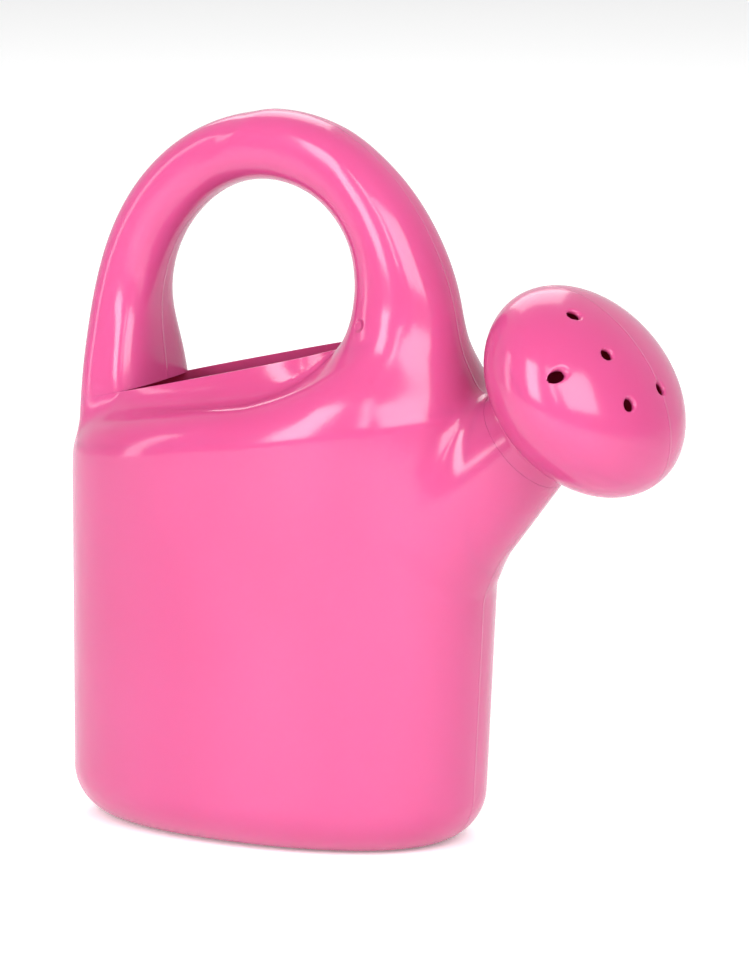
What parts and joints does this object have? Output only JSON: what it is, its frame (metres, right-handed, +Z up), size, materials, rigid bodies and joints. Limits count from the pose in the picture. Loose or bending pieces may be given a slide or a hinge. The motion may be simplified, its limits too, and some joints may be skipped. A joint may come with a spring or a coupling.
{
  "type": "toy watering can",
  "caption": "Small oval watering can with a tall arch handle, a tilted filler mouth, a conical spout and a mushroom-shaped drip rose that pushes onto it.",
  "frame": {"origin": "centre of the flat underside of the base, on the surface the can stands on", "axes": "+Z up; +X forwards, towards the spout; +Y to the can's left"},
  "size_m": [0.2138, 0.0948, 0.2346],
  "materials": {
    "pink_plastic": "glossy blow-moulded polyethylene",
    "rose_plastic": "glossy blow-moulded polyethylene"
  },
  "bodies": {
    "can": {"tank": "pink_plastic", "filler_deck": "pink_plastic", "arch_handle": "pink_plastic", "spout": "pink_plastic"},
    "rose": {"rose_back": "rose_plastic", "rose_face": "rose_plastic"}
  },
  "joints": [
    {"name": "rose_pull", "type": "slide", "parent": "can", "child": "rose", "axis": [0.766, 0, 0.6428], "range_m": [0, 0.03]}
  ]
}
